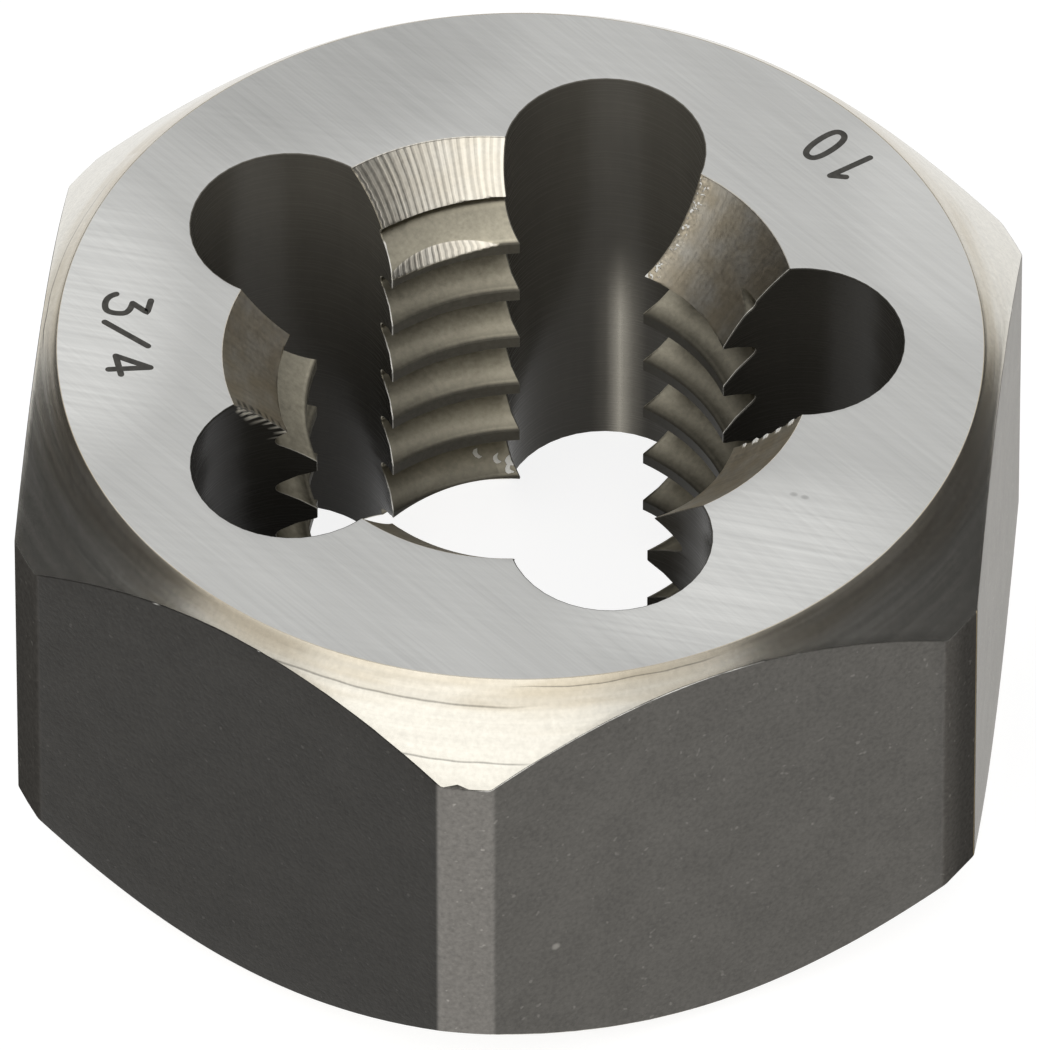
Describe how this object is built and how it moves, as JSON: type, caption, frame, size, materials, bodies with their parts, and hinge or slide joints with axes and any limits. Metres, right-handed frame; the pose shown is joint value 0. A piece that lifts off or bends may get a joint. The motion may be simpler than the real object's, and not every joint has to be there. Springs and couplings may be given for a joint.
{
  "type": "hex threading die",
  "caption": "Hexagonal rethreading die with a left-hand thread broken by round chip flutes, a relieved lead on each land and chamfered corners.",
  "frame": {"origin": "centre of the back face, on the thread's axis", "axes": "+Z along the thread's axis, towards the numbered front face; +X through a corner of the hexagon, in the middle of a land"},
  "size_m": [0.0408, 0.0362, 0.0192],
  "materials": {
    "tool_steel": "ground faces, turned chamfers, dark satin flats and flutes"
  },
  "bodies": {
    "root": {"die_body": "tool_steel"}
  },
  "joints": []
}
